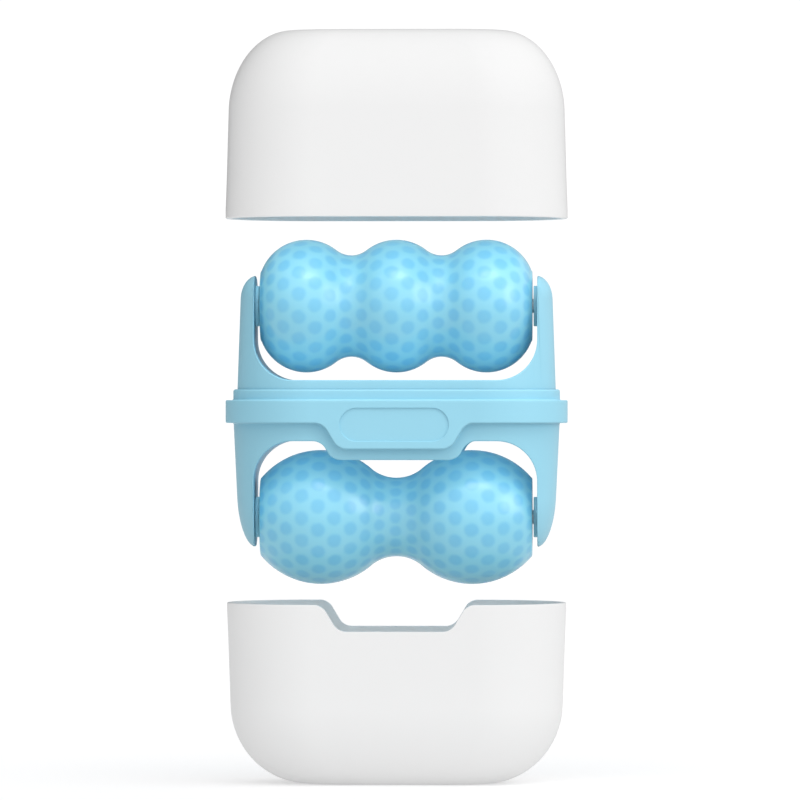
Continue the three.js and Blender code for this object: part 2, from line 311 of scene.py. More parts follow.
def newMaterial(name, color, roughness, **sockets):
    # one flat finish to start from; sockets are named with underscores for their spaces
    material = bpy.data.materials.new(name)
    material.use_nodes = True
    shader = material.node_tree.nodes["Principled BSDF"]
    shader.inputs["Base Color"].default_value = (*color, 1)
    shader.inputs["Roughness"].default_value = roughness
    for key, value in sockets.items():
        shader.inputs[key.replace("_", " ")].default_value = value
    return material, shader


def addNode(tree, kind, inputs=None, **settings):
    # inputs are values, or outputs of other nodes to link from
    node = tree.nodes.new(kind)
    for key, value in settings.items():
        setattr(node, key, value)
    for key, value in (inputs or {}).items():
        if isinstance(value, bpy.types.NodeSocket):
            tree.links.new(value, node.inputs[key])
        else:
            node.inputs[key].default_value = value
    return node


def mathNode(tree, operation, *values):
    return addNode(tree, "ShaderNodeMath", dict(enumerate(values)), operation=operation).outputs[0]


def noise(tree, place, scale, detail=2.0):
    return addNode(tree, "ShaderNodeTexNoise", {"Vector": place, "Scale": scale, "Detail": detail})


def spread(tree, value, before, after=(0.0, 1.0), **settings):
    # stretches the range before to the range after
    return addNode(tree, "ShaderNodeMapRange", {
        "Value": value, "From Min": before[0], "From Max": before[1],
        "To Min": after[0], "To Max": after[1]}, **settings).outputs[0]


def mixed(tree, share, first, second):
    return addNode(tree, "ShaderNodeMixRGB",
                   {"Fac": share, "Color1": first, "Color2": second}).outputs[0]


def raised(tree, height, strength, distance, **inputs):
    return addNode(tree, "ShaderNodeBump", {
        "Height": height, "Strength": strength, "Distance": distance, **inputs}).outputs[0]


def feed(tree, shader, **outputs):
    # links outputs to the shader's sockets, named with underscores for their spaces
    for key, value in outputs.items():
        tree.links.new(value, shader.inputs[key.replace("_", " ")])


def newGroup(name, inputs, outputs):
    group = bpy.data.node_groups.new(name, "ShaderNodeTree")
    for key, (kind, value) in inputs.items():
        socket = group.interface.new_socket(key, in_out="INPUT", socket_type=kind)
        if value is not None:
            socket.default_value = value
    for key, kind in outputs.items():
        group.interface.new_socket(key, in_out="OUTPUT", socket_type=kind)
    return group, group.nodes.new("NodeGroupInput"), group.nodes.new("NodeGroupOutput")


mouldedLook = {
    "flowScale": 34.0,                     # slow unevenness of colour and gloss
    "glossDrift": 0.16,
    "hairStretch": (40.0, 900.0, 900.0),   # hairlines: long one way, fine the other two
    "hairTurn": (0.4, 0.7, 0.5),
    "bendScale": 9.0,                      # how they wander
    "bend": 0.12,
    "hairRange": (0.66, 0.74),             # of the noise that becomes a hairline
}


# Moulded plastic: a fine spark-eroded skin, slow unevenness of gloss and colour, and hairlines.
def mouldedGroup():
    group, given, result = newGroup("mouldedSurface", {
        "Color": ("NodeSocketColor", None),
        "Roughness": ("NodeSocketFloat", 0.4),
        "Grain Size": ("NodeSocketFloat", 1400.0),
        "Flow": ("NodeSocketFloat", 0.03),
        "Hairlines": ("NodeSocketFloat", 0.1),
    }, {"Color": "NodeSocketColor", "Roughness": "NodeSocketFloat", "Height": "NodeSocketFloat"})
    place = addNode(group, "ShaderNodeTexCoord").outputs["Object"]
    flow = noise(group, place, mouldedLook["flowScale"], 3.0)
    grain = noise(group, place, given.outputs["Grain Size"])
    bend = noise(group, place, mouldedLook["bendScale"])
    bent = mixed(group, mouldedLook["bend"], place, bend.outputs["Color"])
    turned = addNode(group, "ShaderNodeMapping", {
        "Vector": bent, "Rotation": mouldedLook["hairTurn"], "Scale": mouldedLook["hairStretch"]})
    lines = noise(group, turned.outputs[0], 1.0, 1.0)
    sharp = spread(group, lines.outputs[0], mouldedLook["hairRange"])
    hair = mathNode(group, "MULTIPLY", sharp, given.outputs["Hairlines"])
    drift = mathNode(group, "SUBTRACT", flow.outputs[0], 0.5)
    shade = mathNode(group, "MULTIPLY", drift, given.outputs["Flow"])
    light = mathNode(group, "ADD", shade, 1.0)
    color = addNode(group, "ShaderNodeVectorMath",
                    {0: given.outputs["Color"], "Scale": light}, operation="SCALE")
    uneven = mathNode(group, "MULTIPLY", drift, mouldedLook["glossDrift"])
    rough = mathNode(group, "ADD", given.outputs["Roughness"], uneven)
    rough = mathNode(group, "ADD", rough, hair)
    height = mathNode(group, "SUBTRACT", grain.outputs[0], hair)
    feed(group, result, Color=color.outputs[0], Roughness=rough, Height=height)
    return group


dustLook = {
    "lying": (0.1, 0.9),         # from this upward tilt none settles to this one all does
    "specks": (0.55, 0.8),       # of the noise that becomes a speck
    "onPlastic": (0.62, 0.61, 0.58, 1), "onSkin": (0.6, 0.62, 0.62, 1),
}


# Dust that settles on what faces up.
def dustGroup():
    group, given, result = newGroup("settledDust", {
        "Amount": ("NodeSocketFloat", 0.1),
        "Size": ("NodeSocketFloat", 260.0),
    }, {"Mask": "NodeSocketFloat"})
    place = addNode(group, "ShaderNodeTexCoord").outputs["Object"]
    normal = addNode(group, "ShaderNodeNewGeometry").outputs["Normal"]
    up = addNode(group, "ShaderNodeSeparateXYZ", {"Vector": normal}).outputs["Z"]
    lying = spread(group, up, dustLook["lying"])
    specks = noise(group, place, given.outputs["Size"], 6.0)
    thin = spread(group, specks.outputs[0], dustLook["specks"])
    mask = mathNode(group, "MULTIPLY", lying, thin)
    feed(group, result, Mask=mathNode(group, "MULTIPLY", mask, given.outputs["Amount"]))
    return group


moulded = mouldedGroup()
dust = dustGroup()


def useGroup(tree, group, **values):
    node = addNode(tree, "ShaderNodeGroup", node_tree=group)
    for key, value in values.items():
        socket = node.inputs[key.replace("_", " ")]
        if isinstance(value, bpy.types.NodeSocket):
            tree.links.new(value, socket)
        else:
            socket.default_value = value
    return node


# Grain is how fine the surface texture is, and bump how deep.
plastics = {
    "capWhite": {"color": (0.93, 0.93, 0.93), "roughness": 0.34, "grain": 1500.0, "bump": 0.05,
                 "flow": 0.012, "hairlines": 0.10, "dust": 0.05, "coat": 0.25, "specular": 0.5},
    "frameBlue": {"color": (0.285, 0.595, 0.735), "roughness": 0.38, "grain": 1300.0, "bump": 0.06,
                  "flow": 0.05, "hairlines": 0.08, "dust": 0.06, "coat": 0.0,
                  "specular": 0.3},
    # The spacers are the frame's blue plastic, painted paler here as painted light, to make up for
    # the shade they sit in between arm and roller.
    "spacerBluePaintedLight": {"color": (0.34, 0.72, 0.88), "roughness": 0.42, "grain": 1900.0, "bump": 0.05,
                   "flow": 0.06, "hairlines": 0.12, "dust": 0.02, "coat": 0.0,
                   "specular": 0.5},
    "bushWhite": {"color": (0.72, 0.76, 0.76), "roughness": 0.36, "grain": 2400.0, "bump": 0.04,
                  "flow": 0.04, "hairlines": 0.15, "dust": 0.03, "coat": 0.0, "specular": 0.5},
    "coreNatural": {"color": (0.66, 0.69, 0.66), "roughness": 0.5, "grain": 1700.0, "bump": 0.08,
                    "flow": 0.06, "hairlines": 0.05, "dust": 0.0, "coat": 0.0,
                    "specular": 0.5},
}
coatRoughness = 0.12
grainDepth = 0.2 * mm      # at a bump of 1


def plasticMaterial(name):
    look = plastics[name]
    material, shader = newMaterial(
        name, look["color"], look["roughness"], Coat_Weight=look["coat"],
        Coat_Roughness=coatRoughness, Specular_IOR_Level=look["specular"])
    tree = material.node_tree
    surface = useGroup(tree, moulded, Color=(*look["color"], 1), Roughness=look["roughness"],
                       Grain_Size=look["grain"], Flow=look["flow"],
                       Hairlines=look["hairlines"])
    settled = useGroup(tree, dust, Amount=look["dust"])
    color = mixed(tree, settled.outputs[0], surface.outputs["Color"], dustLook["onPlastic"])
    rough = mathNode(tree, "ADD", surface.outputs["Roughness"], settled.outputs[0])
    feed(tree, shader, Base_Color=color, Roughness=rough, Normal=raised(
        tree, surface.outputs["Height"], look["bump"], grainDepth))
    return material


skinLook = {
    "base": (0.226, 0.58, 0.73),     # the skin between the dots
    "dot": (0.15, 0.487, 0.71),
    "pitch": 5.8 * mm,               # from one ring of dots to the next, along the surface
    "aroundRing": 18,
    "start": {"upper": (0.2, 0.0), "lower": (0.0, 0.5)},   # where the pattern begins, in dots
    "dotRadius": 2.4 * mm,           # where the roller is as thick as fullRadius
    "fullRadius": 22.5 * mm,
    "dotShrink": 0.055,              # how much smaller dots are where it is thinner
    "dotEdge": 0.8 * mm,
    "ragged": 0.7 * mm, "raggedScale": 420.0,
    "cloud": (0.7, 1.0), "cloudScale": 70.0,     # faint and full parts of the dots
    "roughness": 0.3, "coat": 0.5, "coatRoughness": 0.2,
    "glow": 0.3, "glowRadius": (0.6, 0.8, 1.0), "glowDepth": 3 * mm,   # light under the skin
    "dust": 0.04, "dustSize": 300.0,
    "grain": 700.0, "grainBump": 0.08, "flow": 0.05, "hairlines": 0.04,
    "dotBump": 0.12, "dotDepth": 0.3 * mm,
}


# Soft translucent skin with round darker dots under it, in rings that alternate by half a step.
# The skin's own UV map counts rings along the roller and dots round it.
def skinMaterial(axisHeight):
    look = skinLook
    material, shader = newMaterial(
        "softSkin", look["base"], look["roughness"], Coat_Weight=look["coat"],
        Coat_Roughness=look["coatRoughness"], Subsurface_Weight=look["glow"],
        Subsurface_Radius=look["glowRadius"], Subsurface_Scale=look["glowDepth"])
    tree = material.node_tree
    place = addNode(tree, "ShaderNodeTexCoord").outputs["Object"]
    centred = addNode(tree, "ShaderNodeMapping",
                      {"Vector": place, "Location": (0, 0, -axisHeight)})
    across = addNode(tree, "ShaderNodeVectorMath",
                     {0: centred.outputs[0], 1: (0, 1, 1)}, operation="MULTIPLY")
    radius = addNode(tree, "ShaderNodeVectorMath", {0: across.outputs[0]},
                     operation="LENGTH").outputs["Value"]
    counts = addNode(tree, "ShaderNodeUVMap", uv_map="dots").outputs[0]
    split = addNode(tree, "ShaderNodeSeparateXYZ", {"Vector": counts})
    arcStep = mathNode(tree, "MULTIPLY", radius, 2 * math.pi / look["aroundRing"])
    distances = []
    for offset in (0.0, 0.5):
        # rings at even and at odd counts, each pair a whole number of 2 apart
        ring = mathNode(tree, "MULTIPLY", mathNode(tree, "ADD", split.outputs[0], 2 * offset), 0.5)
        ringOff = mathNode(tree, "SUBTRACT", ring, mathNode(tree, "ROUND", ring))
        along = mathNode(tree, "MULTIPLY", ringOff, 2 * look["pitch"])
        dot = mathNode(tree, "ADD", split.outputs[1], offset)
        dotOff = mathNode(tree, "SUBTRACT", dot, mathNode(tree, "ROUND", dot))
        around = mathNode(tree, "MULTIPLY", dotOff, arcStep)
        squares = [mathNode(tree, "POWER", mathNode(tree, "ABSOLUTE", way), 2.0)
                   for way in (along, around)]
        distances.append(mathNode(tree, "SQRT", mathNode(tree, "ADD", *squares)))
    nearest = mathNode(tree, "MINIMUM", *distances)
    wobble = noise(tree, place, look["raggedScale"])
    off = mathNode(tree, "SUBTRACT", wobble.outputs[0], 0.5)
    ragged = mathNode(tree, "ADD", nearest, mathNode(tree, "MULTIPLY", off, look["ragged"]))
    grown = mathNode(tree, "MULTIPLY", radius, look["dotShrink"])
    size = mathNode(tree, "ADD", grown,
                    look["dotRadius"] - look["fullRadius"] * look["dotShrink"])
    inside = mathNode(tree, "DIVIDE", mathNode(tree, "SUBTRACT", size, ragged), look["dotEdge"])
    mask = spread(tree, inside, (-1.0, 1.0), interpolation_type="SMOOTHSTEP")
    cloud = noise(tree, place, look["cloudScale"], 3.0)
    depth = spread(tree, cloud.outputs[0], (0.3, 0.7), look["cloud"])
    blend = mathNode(tree, "MULTIPLY", mask, depth)
    color = mixed(tree, blend, (*look["base"], 1), (*look["dot"], 1))
    settled = useGroup(tree, dust, Amount=look["dust"], Size=look["dustSize"])
    dusty = mixed(tree, settled.outputs[0], color, dustLook["onSkin"])
    surface = useGroup(tree, moulded, Color=dusty, Roughness=look["roughness"],
                       Grain_Size=look["grain"], Flow=look["flow"], Hairlines=look["hairlines"])
    grained = raised(tree, surface.outputs["Height"], look["grainBump"], grainDepth)
    feed(tree, shader, Base_Color=surface.outputs["Color"],
         Roughness=surface.outputs["Roughness"],
         Normal=raised(tree, mask, look["dotBump"], look["dotDepth"], Normal=grained))
    return material


steelLook = {
    "color": (0.72, 0.73, 0.75), "roughness": 0.24,
    "clean": (0.78, 0.79, 0.81, 1), "stained": (0.62, 0.63, 0.65, 1), "stainScale": 180.0,
    "gloss": (0.16, 0.36),                 # roughness of clean and of stained steel
    "turning": (6000.0, 200.0, 200.0),     # how close the rings from turning are
    "turningBump": 0.1, "turningDepth": 0.1 * mm,
}


# Drawn steel rod and screws: fine rings from turning, and a slight stain.
def steelMaterial():
    look = steelLook
    material, shader = newMaterial("brightSteel", look["color"], look["roughness"], Metallic=1.0)
    tree = material.node_tree
    place = addNode(tree, "ShaderNodeTexCoord").outputs["Object"]
    rings = addNode(tree, "ShaderNodeMapping", {"Vector": place, "Scale": look["turning"]})
    turned = noise(tree, rings.outputs[0], 1.0)
    stain = noise(tree, place, look["stainScale"], 4.0).outputs[0]
    feed(tree, shader, Base_Color=mixed(tree, stain, look["clean"], look["stained"]),
         Roughness=spread(tree, stain, (0.0, 1.0), look["gloss"]),
         Normal=raised(tree, turned.outputs[0], look["turningBump"], look["turningDepth"]))
    return material


def dress(piece, material):
    piece.data.materials.clear()
    piece.data.materials.append(material)


capWhite = plasticMaterial("capWhite")
frameBlue = plasticMaterial("frameBlue")
spacerBluePaintedLight = plasticMaterial("spacerBluePaintedLight")
bushWhite = plasticMaterial("bushWhite")
coreNatural = plasticMaterial("coreNatural")
brightSteel = steelMaterial()
print("materials made")


# The closed end rounds in from cornerHeight, by cornerX at the sides and cornerY at the front.
caps = {
    "lower": {"halfWidth": 59.5, "halfDepth": 30.5, "wall": 2.0, "draft": 0.034,
              "cornerHeight": 27.0, "cornerX": 26.0, "cornerY": 19.5, "rings": 26},
    "upper": {"halfWidth": 60.0, "halfDepth": 31.0, "wall": 2.2, "draft": 0.028,
              "cornerHeight": 28.0, "cornerX": 21.3, "cornerY": 19.5, "rings": 26},
}
capLook = {"edge": 0.35, "lip": 3.0, "endSteps": 32, "wallRings": (0.66, 0.33)}


def capShell(name, cap, box):
    # drawn from its rim to the rounded closed end, then given its wall
    low, high = box[0][2], box[1][2]
    side = -1 if name == "lower" else 1
    rim, end = (high, low) if side < 0 else (low, high)
    tall = high - low
    halfWidth, halfDepth = cap["halfWidth"] * mm, cap["halfDepth"] * mm
    corner = cap["cornerHeight"] * mm

    def ring(height, rise):
        lean = cap["draft"] * (tall - height)
        inset = 1 - math.sqrt(1 - rise * rise)
        return (end - side * height, halfWidth - lean - cap["cornerX"] * mm * inset,
                halfDepth - lean - cap["cornerY"] * mm * inset)

    first = rim + side * capLook["lip"] * mm
    shell = stadiumBlock(name + "CapShell", halfWidth, halfDepth, *sorted((rim, first)),
                         capLook["endSteps"])
    edit(shell)
    pickEnd(first, side)
    rings = [ring(corner + share * (tall - corner), 0) for share in capLook["wallRings"]]
    for step in range(cap["rings"] + 1):
        rise = math.sin(math.pi / 2 * step / cap["rings"])
        rings.append(ring(corner * (1 - rise), rise))
    drawOut((first, halfWidth, halfDepth), rings)
    pickEnd(rim, -side)
    bpy.ops.mesh.delete(type="FACE")
    bpy.ops.object.mode_set(mode="OBJECT")
    finish(shell, kind="SOLIDIFY", thickness=cap["wall"] * mm, offset=-1, use_even_offset=True)
    return shell


# The tab that hangs from the band, and what follows its outline further out.
tab = {"drop": 13.0, "middle": 8.5, "halfWidth": 22.1, "angle": 59.0, "fillet": 4.8,
       "filletSteps": 10}
notch = {"play": 0.3, "lift": 0.02, "above": 10.0}


def tabTool(name, middle, top, grow, near, far, wide, above):
    # a bar from top to above, with the tab's outline hanging from it, both rounded
    slope = math.radians(tab["angle"])
    reach = tab["fillet"] * math.tan(slope / 2) * mm
    bottom = middle - (tab["drop"] + grow) * mm

    def halfAt(height):
        run = (height - middle + tab["middle"] * mm) / math.tan(slope)
        return (tab["halfWidth"] + grow / math.sin(slope)) * mm + run

    tool = block(name, (-wide, near, top), (wide, far, above))
    root, foot = halfAt(top), halfAt(bottom)
    edit(tool)
    for side in (-1, 1):
        bpy.ops.mesh.select_all(action="SELECT")
        bpy.ops.mesh.bisect(plane_co=(side * root, 0, 0), plane_no=(1, 0, 0))
    pick("FACE", lambda f: f.normal.z < -0.9 and abs(f.calc_center_median().x) < root / 2)
    bpy.ops.mesh.extrude_region_move(TRANSFORM_OT_translate={"value": (0, 0, bottom - top)})
    bpy.ops.transform.resize(value=(foot / root, 1, 1), center_override=(0, 0, bottom))
    bpy.ops.object.mode_set(mode="OBJECT")
    roundEdges(tool, lambda e: runsAlong(e, 1) and abs(middleOfEdge(e).x) < wide - tiny
               and middleOfEdge(e).z < top + tiny, reach, tab["filletSteps"])
    return tool


def makeCaps():
    upper = capShell("upper", caps["upper"], upperCapBox)
    lower = capShell("lower", caps["lower"], lowerCapBox)
    rim = lowerCapBox[1][2]
    combine(lower, tabTool("notchTool", rim + band["half"] * mm, rim + notch["lift"] * mm,
                           notch["play"], -past, past, past, rim + notch["above"] * mm))
    for shell, node, body in ((lower, "lower_cap", "case_base"), (upper, "upper_cap", "case_lid")):
        soften(shell, capLook["edge"] * mm)
        dress(shell, capWhite)
        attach(shell, body)
        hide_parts(node)


# Heights of the frame and fork are from the band's middle, widths are half widths, both in mm.
band = {"half": 4.0, "edge": 0.45, "collar": 57.3, "collarTop": 7.8, "collarEdge": 0.8,
        "steps": 28}
makeCaps()
print("caps made")

lowerArms = {"halfWidth": 57.2, "draft": 0.048, "tip": -47.5, "tipHeight": 17.0, "tipInset": 5.8,
             "rings": 9}
upperArms = {"foot": 5.3, "halfWidth": 55.9, "draft": 0.035, "tip": 47.65, "tipHeight": 8.0,
             "tipInset": 5.4, "rings": 8}
channel = {"halfWidth": 49.4, "floor": 11.0, "ceiling": -10.25, "corner": 14.0,
           "cornerSteps": 20, "reach": 90.0}
apron = {"grow": 3.8, "thickness": 2.0, "lean": 0.6}
badge = {"length": 38.0, "height": 11.8, "middle": -4.5, "depth": 0.5, "slope": 0.35,
         "endSteps": 20, "slopeSteps": 2}
well = {"floor": -7.85, "seat": 5.0, "ledge": 2.5, "plate": 2.4, "play": 0.3}
ribs = {"thickness": 1.8, "acrossX": (-38.0, 0.0, 38.0), "below": 1.0, "into": 0.5,
        "shorter": 2.0}
screws = {"x": 24.0, "y": 16.0, "hole": 1.75, "boss": 3.8, "head": 3.0, "headDepth": 1.6,
          "holeFoot": -5.2, "clear": 0.3, "sides": 32, "headSides": 40}
socket = {"radius": 2.8, "depth": 3.9, "sides": 40}
mouldEdge = 0.5        # rounding of the frame's and the fork's edges


def heightAt(z):
    return bandMiddle + z * mm


def armRings(arms, foot, side):
    # from the foot of the arms to their tips, which round in; the depth follows the width
    rings = []
    for step in range(arms["rings"] + 1):
        turn = math.pi / 2 * step / arms["rings"]
        z = arms["tip"] - side * arms["tipHeight"] * (1 - math.sin(turn))
        lean = arms["draft"] * abs(z - foot) + arms["tipInset"] * (1 - math.cos(turn))
        halfWidth = (arms["halfWidth"] - lean) * mm
        rings.append((heightAt(z), halfWidth, halfWidth - straight))
    return rings


def armBlock(name, arms, foot, start, side):
    halfWidth = arms["halfWidth"] * mm
    near, far = heightAt(start), heightAt(foot)
    low, high = sorted((near, far))
    piece = stadiumBlock(name, halfWidth, halfWidth - straight, low, high, band["steps"])
    edit(piece)
    pickEnd(far, side)
    drawOut((far, halfWidth, halfWidth - straight), armRings(arms, foot, side))
    bpy.ops.object.mode_set(mode="OBJECT")
    return piece


def channelTool(name, floor, side):
    # the U between the arms, upwards from its floor or downwards from its ceiling
    half, level = channel["halfWidth"] * mm, heightAt(floor)
    low, high = sorted((level, heightAt(side * channel["reach"])))
    tool = block(name, (-half, -past, low), (half, past, high))
    roundEdges(tool, lambda e: runsAlong(e, 1) and abs(middleOfEdge(e).z - level) < tiny,
               channel["corner"] * mm, channel["cornerSteps"])
    return tool


def stadiumTool(name, halfWidth, low, high):
    half = halfWidth * mm
    return stadiumBlock(name, half, half - straight, heightAt(low), heightAt(high))


def socketTools(piece, height):
    inner, depth = channel["halfWidth"] * mm, socket["depth"] * mm
    for side in (-1, 1):
        ends = sorted((side * (inner - mm), side * (inner + depth)))
        combine(piece, rod("socketTool", socket["radius"] * mm, *ends, place=(0, 0, height),
                           sides=socket["sides"]))


screwPlaces = [(x * screws["x"] * mm, y * screws["y"] * mm)
               for x, y in ((-1, -1), (1, -1), (-1, 1), (1, 1))]


def bossAndHole(piece, x, y, foot, top, holeFoot, holeTop, sides):
    boss = rod("boss", screws["boss"] * mm, heightAt(foot), heightAt(top), "Z", (x, y, 0),
               screws["sides"])
    combine(piece, boss, "UNION")
    combine(piece, rod("hole", screws["hole"] * mm, heightAt(holeFoot), heightAt(holeTop), "Z",
                       (x, y, 0), sides))


def makeFrame():
    collar, half = band["collar"] * mm, band["half"]
    piece = armBlock("frameMoulding", lowerArms, -half, 0, -1)
    rim = stadiumBlock("collar", collar, collar - straight, heightAt(-1),
                       heightAt(band["collarTop"]), band["steps"])
    soften(rim, band["collarEdge"] * mm)
    combine(piece, rim, "UNION")
    # the band and both tabs, cut together from one block
    belt = stadiumBlock("belt", bandHalfWidth, bandHalfDepth, heightAt(-5 * half),
                        heightAt(half), band["steps"])
    outline = tabTool("beltTool", bandMiddle, heightAt(-half), 0, -past, past, past + 30 * mm,
                      heightAt(3 * half))
    combine(belt, outline, "INTERSECT")
    soften(belt, band["edge"] * mm)
    combine(piece, belt, "UNION")
    # the arch under the deck, which stops short of the aprons behind the tabs
    arch = channelTool("archTool", channel["ceiling"], -1)
    face = (lowerArms["halfWidth"] - apron["thickness"] - apron["lean"]) * mm - straight
    for near, far in ((-past - 10 * mm, -face), (face, past + 10 * mm)):
        keep = tabTool("apronTool", bandMiddle, heightAt(channel["ceiling"]), apron["grow"],
                       near, far, past, heightAt(channel["ceiling"] + 5))
        combine(arch, keep)
    combine(piece, arch)
    # the well that the fork drops into, with its ribs and screw bosses
    seatHalf = upperArms["halfWidth"] + well["play"]
    wellHalf = seatHalf - well["ledge"]
    combine(piece, stadiumTool("seatTool", seatHalf, well["seat"], well["seat"] + 4))
    combine(piece, stadiumTool("wellTool", wellHalf, well["floor"], well["seat"] + 1))
    ribTop = heightAt(well["seat"] - ribs["below"])
    ribFoot = heightAt(well["floor"] - ribs["into"])
    thin = ribs["thickness"] / 2 * mm
    reach, depth = wellHalf * mm, wellHalf * mm - straight
    combine(piece, block("rib", (-reach, -thin, ribFoot), (reach, thin, ribTop)), "UNION")
    for x in ribs["acrossX"]:
        deep = depth + ribs["into"] * mm
        if abs(x) * mm > straight:
            deep -= ribs["shorter"] * mm
        combine(piece, block("rib", (x * mm - thin, -deep, ribFoot),
                             (x * mm + thin, deep, ribTop)), "UNION")
    for x, y in screwPlaces:
        bossAndHole(piece, x, y, well["floor"] - ribs["into"], well["seat"], screws["holeFoot"],
                    well["seat"] + 4, screws["sides"])
    socketTools(piece, lowerAxis)
    return piece


def makeFork():
    foot, floor = upperArms["foot"], channel["floor"]
    piece = armBlock("forkMoulding", upperArms, foot + 1, foot, 1)
    combine(piece, channelTool("channelTool", floor, 1))
    hollow = upperArms["halfWidth"] - well["ledge"]
    ceiling = floor - well["plate"]
    combine(piece, stadiumTool("hollowTool", hollow, foot - 1, ceiling))
    depth = (screws["headDepth"] + screws["clear"]) * mm
    proud = 0.01 * mm      # so that the cone cuts cleanly through the floor
    for x, y in screwPlaces:
        bossAndHole(piece, x, y, foot, ceiling + 1, foot - 1, floor + 1, screws["headSides"])
        deselect()
        bpy.ops.mesh.primitive_cone_add(
            vertices=screws["headSides"], radius1=screws["hole"] * mm,
            radius2=(screws["head"] + screws["clear"]) * mm, depth=depth,
            location=(x, y, heightAt(floor) - depth / 2 + proud))
        bpy.ops.object.transform_apply(location=True, rotation=True, scale=True)
        combine(piece, bpy.context.object)
    socketTools(piece, upperAxis)
    return piece


def pressBadge(piece):
    # the blank recess, with sides that slope in
    high, half = badge["height"] / 2 * mm, badge["length"] / 2 * mm
    middle = heightAt(badge["middle"])
    press = block("badgeTool", (-half, -bandHalfDepth - mm, middle - high),
                  (half, -bandHalfDepth + badge["depth"] * mm, middle + high))
    roundEdges(press, lambda e: runsAlong(e, 1), high, badge["endSteps"])
    roundEdges(press, lambda e: middleOfEdge(e).y > -bandHalfDepth and not runsAlong(e, 1),
               badge["slope"] * mm, badge["slopeSteps"])
    combine(piece, press)


def makeStructure():
    for make, node in ((makeFrame, "main_frame"), (makeFork, "upper_fork")):
        piece = make()
        soften(piece, mouldEdge * mm)
        if node == "main_frame":
            pressBadge(piece)
            shadeFlats(piece)
        dress(piece, frameBlue)
        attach(piece, "frame")
        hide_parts(node)
        print(node, len(piece.data.polygons), "faces")


makeStructure()
print("frame and fork made")


# Round pieces are drawn point by point and spun about their axis. Points are (place along the
# axis, radius), and the last may return to the first.
def spun(name, points, height=0.0, steps=96, axis="X", middle=(0, 0)):
    deselect()
    bpy.ops.mesh.primitive_plane_add(size=mm)
    piece = bpy.context.object
    piece.name = name
    bpy.ops.object.mode_set(mode="EDIT")
    bpy.ops.mesh.select_mode(type="VERT")
    bpy.ops.mesh.select_all(action="SELECT")
    bpy.ops.mesh.merge(type="CENTER")
    bpy.ops.mesh.select_all(action="SELECT")

    def placed(along, radius):
        if axis == "X":
            return Vector((along, 0, height + radius))
        return Vector((middle[0] + radius, middle[1], along))

    spots = [placed(*point) for point in points]
    bpy.ops.transform.translate(value=spots[0])
    for here, there in zip(spots, spots[1:]):
        bpy.ops.mesh.extrude_region_move(TRANSFORM_OT_translate={"value": there - here})
    bpy.ops.mesh.select_all(action="SELECT")
    centre = (0, 0, height) if axis == "X" else (*middle, 0)
    turn = (1, 0, 0) if axis == "X" else (0, 0, 1)
    bpy.ops.mesh.spin(steps=steps, angle=2 * math.pi, center=centre, axis=turn, use_auto_merge=True)
    bpy.ops.mesh.select_all(action="SELECT")
    bpy.ops.mesh.remove_doubles(threshold=tiny)
    bpy.ops.mesh.normals_make_consistent(inside=False)
    bpy.ops.object.mode_set(mode="OBJECT")
    return piece


# Arcs along each roller: place, height of the top or bottom, radius, and swell out or draw in.
def crest(x, top, radius):
    return {"x": x * mm, "centre": (top - radius) * mm, "radius": radius * mm, "swell": 1}


def valley(x, bottom, radius):
    return {"x": x * mm, "centre": (bottom + radius) * mm, "radius": radius * mm, "swell": -1}


rollerArcs = {
    "upper": [crest(-31.6, 23.3, 16.85), valley(-15.8, 17.8, 8.5), crest(0, 23.3, 16.85),
              valley(15.8, 17.8, 8.5), crest(31.6, 23.3, 16.85)],
    "lower": [crest(-26.5, 23.5, 27.4), valley(0, 13.8, 13.9), crest(26.5, 23.5, 27.4)],
}
rollerLook = {"end": 47.65, "innerEnd": 44.6, "skin": 3.0, "lip": 8.3, "edge": 0.5, "rings": 84,
              "liningRings": 28, "steps": 108, "smooth": 40}
# The corner at each end of a skin, in shares of its edge: (back from the end, down), then the lip.
skinCorner = [(0.3, 0.25), (0.05, 0.75), (0.0, 1.3)]


def stretches(arcs, inset, end):
    # each arc's radius under the surface and the angles it runs between
    found = []
    for i, arc in enumerate(arcs):
        radius = arc["radius"] - arc["swell"] * inset

        def lean(other):
            return math.asin((other["x"] - arc["x"]) / (arc["radius"] + other["radius"]))

        first = lean(arcs[i - 1]) if i else math.asin((-end - arc["x"]) / radius)
        last = lean(arcs[i + 1]) if i + 1 < len(arcs) else math.asin((end - arc["x"]) / radius)
        found.append((arc, radius, first, last))
    return found


def profile(arcs, inset, end, count):
    # (place, radius) at equal steps along the arcs, from end to end
    runs = stretches(arcs, inset, end)
    whole = sum(radius * (last - first) for _, radius, first, last in runs)
    points, done, run = [], 0.0, 0
    for step in range(count + 1):
        target = whole * step / count
        while run < len(runs) - 1 and target > done + runs[run][1] * (runs[run][3] - runs[run][2]):
            done += runs[run][1] * (runs[run][3] - runs[run][2])
            run += 1
        arc, radius, first, _ = runs[run]
        turn = first + (target - done) / radius
        points.append((arc["x"] + radius * math.sin(turn),
                       arc["centre"] + arc["swell"] * radius * math.cos(turn)))
    return points


def lengthTo(arcs, end, x):
    # length along the surface from the left end to the place x
    done = 0.0
    for arc, radius, first, last in stretches(arcs, 0, end):
        if x <= arc["x"] + radius * math.sin(last) or arc is arcs[-1]:
            lean = max(-1.0, min(1.0, (x - arc["x"]) / radius))
            return done + radius * (math.asin(lean) - first)
        done += radius * (last - first)
    return done


